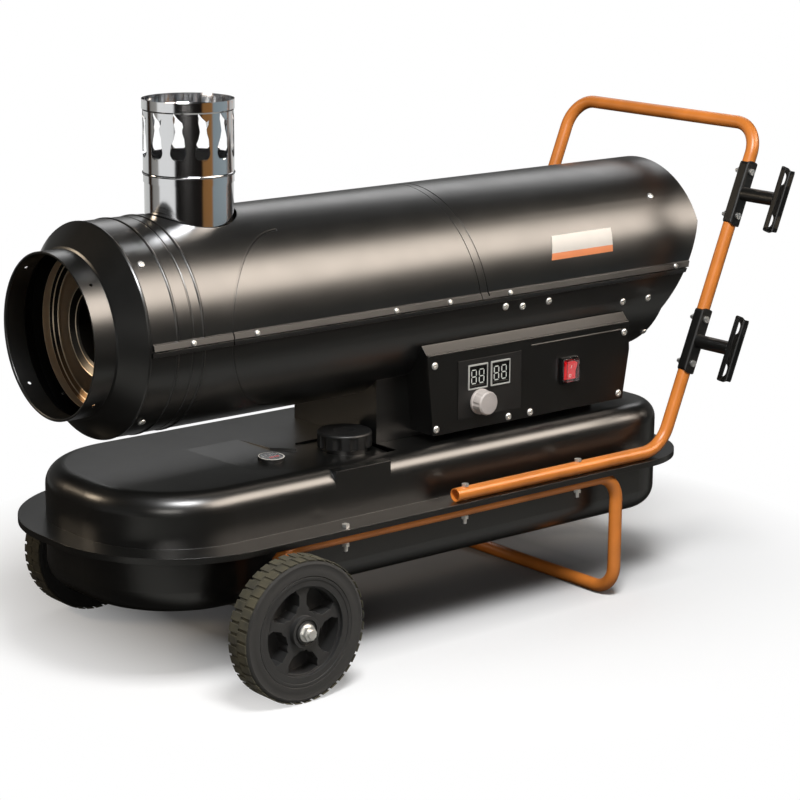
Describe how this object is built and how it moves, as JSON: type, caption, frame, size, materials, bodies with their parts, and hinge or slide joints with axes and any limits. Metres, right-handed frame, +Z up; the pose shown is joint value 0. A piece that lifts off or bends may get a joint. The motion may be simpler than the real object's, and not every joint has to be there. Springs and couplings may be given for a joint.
{
  "type": "diesel space heater",
  "caption": "Portable diesel space heater: black round air barrel with a bright flue on a flat fuel tank, on two wheels with an orange tube leg and push handle.",
  "frame": {"origin": "on the floor under the middle of the bounding box", "axes": "+X along the barrel from the hot air outlet towards the push handle, +Z up along the flue, the control panel faces -Y"},
  "size_m": [1.164, 0.582, 0.7845],
  "materials": {
    "black_paint": "semi-gloss powder coat",
    "orange_paint": "gloss powder coat",
    "zinc": "bright zinc plate",
    "stainless": "bright rolled sheet",
    "tyre_rubber": "matt",
    "wheel_plastic": "moulded, matt",
    "cap_plastic": "moulded, fine grain",
    "seal_rubber": "matt",
    "gauge_plastic": "moulded",
    "clear_lens": "clear moulding",
    "needle_red": "moulded",
    "float_plastic": "moulded",
    "hot_steel": "bare sheet tinted by heat",
    "burner_steel": "bare sheet",
    "ceramic": "glazed ceramic",
    "brass_fitting": "turned",
    "copper_pipe": "drawn tube",
    "motor_grey": "satin",
    "fan_alloy": "pressed sheet",
    "guard_paint": "satin",
    "gland_plastic": "moulded",
    "panel_plastic": "fine grain",
    "display_plastic": "gloss window in a grey frame",
    "knob_plastic": "moulded",
    "switch_black": "moulded",
    "switch_red": "moulded, lit from inside",
    "clear_cover": "soft clear moulding",
    "board_green": "laminate",
    "filter_amber": "clear bowl"
  },
  "bodies": {
    "heater": {"tank_lower": "black_paint", "tank_upper": "black_paint", "drain_plug": "zinc", "filler_neck": "black_paint", "fuel_strainer": "zinc", "gauge_body": "gauge_plastic", "gauge_lens": "clear_lens", "chassis_tube": "orange_paint", "handle_tube": "orange_paint", "frame_bolts": "zinc", "axle": "zinc", "axle_washers": "zinc", "axle_nuts": "zinc", "barrel_lower": "black_paint", "barrel_upper_front": "black_paint", "barrel_upper_rear": "black_paint", "outlet_cone": "black_paint", "shell_screws": "zinc", "air_liner": "hot_steel", "combustion_chamber": "hot_steel", "chamber_nose": "hot_steel", "flue_pipe": "stainless", "flue_cap": "stainless", "burner_head": "burner_steel", "fuel_nozzle": "brass_fitting", "ignition_electrodes": "ceramic", "fan_motor": "motor_grey", "motor_bracket": "zinc", "fuel_pump": "motor_grey", "pump_feed_pipe": "copper_pipe", "nozzle_pipe": "copper_pipe", "intake_guard": "guard_paint", "support_box": "black_paint", "fuel_filter": "filter_amber", "cable_gland": "gland_plastic", "control_box": "black_paint", "control_panel": "black_paint", "panel_insert": "panel_plastic", "displays": "display_plastic", "thermostat": "gauge_plastic", "switch_frame": "switch_black", "switch_cover": "clear_cover", "ignition_transformer": "motor_grey", "control_board": "board_green", "panel_screws": "zinc", "hook_upper": "black_paint", "hook_lower": "black_paint", "hook_bolts": "zinc"},
    "wheel_left": {"wheel_rim_left": "wheel_plastic", "wheel_tyre_left": "tyre_rubber"},
    "wheel_right": {"wheel_rim_right": "wheel_plastic", "wheel_tyre_right": "tyre_rubber"},
    "fan_rotor": {"fan": "fan_alloy"},
    "knob": {"thermostat_knob": "knob_plastic"},
    "rocker": {"power_rocker": "switch_red"},
    "cap_seal": {"cap_gasket": "seal_rubber"},
    "cap": {"fuel_cap": "cap_plastic"},
    "float_arm": {"gauge_float": "float_plastic"},
    "needle": {"gauge_needle": "needle_red"}
  },
  "joints": [
    {"name": "wheel_left_spin", "type": "hinge", "parent": "heater", "child": "wheel_left", "pos_m": [-0.356, -0.256, 0.1], "axis": [0, 1, 0], "continuous": true},
    {"name": "wheel_right_spin", "type": "hinge", "parent": "heater", "child": "wheel_right", "pos_m": [-0.356, 0.256, 0.1], "axis": [0, 1, 0], "continuous": true},
    {"name": "fan_spin", "type": "hinge", "parent": "heater", "child": "fan_rotor", "pos_m": [0.372, 0, 0.484], "axis": [1, 0, 0], "continuous": true},
    {"name": "thermostat_turn", "type": "hinge", "parent": "heater", "child": "knob", "pos_m": [0.06, -0.15, 0.33], "axis": [0, -1, 0], "range_deg": [-135, 135]},
    {"name": "rocker_tilt", "type": "hinge", "parent": "heater", "child": "rocker", "pos_m": [0.235, -0.1455, 0.352], "axis": [1, 0, 0], "range_deg": [-20, 0]},
    {"name": "cap_lift", "type": "slide", "parent": "heater", "child": "cap_seal", "axis": [0, 0, 1], "range_m": [0, 0.009]},
    {"name": "cap_turn", "type": "hinge", "parent": "cap_seal", "child": "cap", "pos_m": [-0.132, -0.074, 0.29], "axis": [0, 0, 1], "range_deg": [0, 540]},
    {"name": "float_swing", "type": "hinge", "parent": "heater", "child": "float_arm", "pos_m": [-0.252, -0.06, 0.20542], "axis": [1, 0, 0], "range_deg": [-40, 40]},
    {"name": "needle_swing", "type": "hinge", "parent": "heater", "child": "needle", "pos_m": [-0.252, -0.06, 0.27542], "axis": [0, -0.0436, 0.999], "range_deg": [-45, 45]}
  ],
  "couplings": [
    {"joint": "cap_lift", "follows": "cap_turn", "m_per_rad": 0.00095493},
    {"joint": "needle_swing", "follows": "float_swing", "ratio": 1.125}
  ]
}
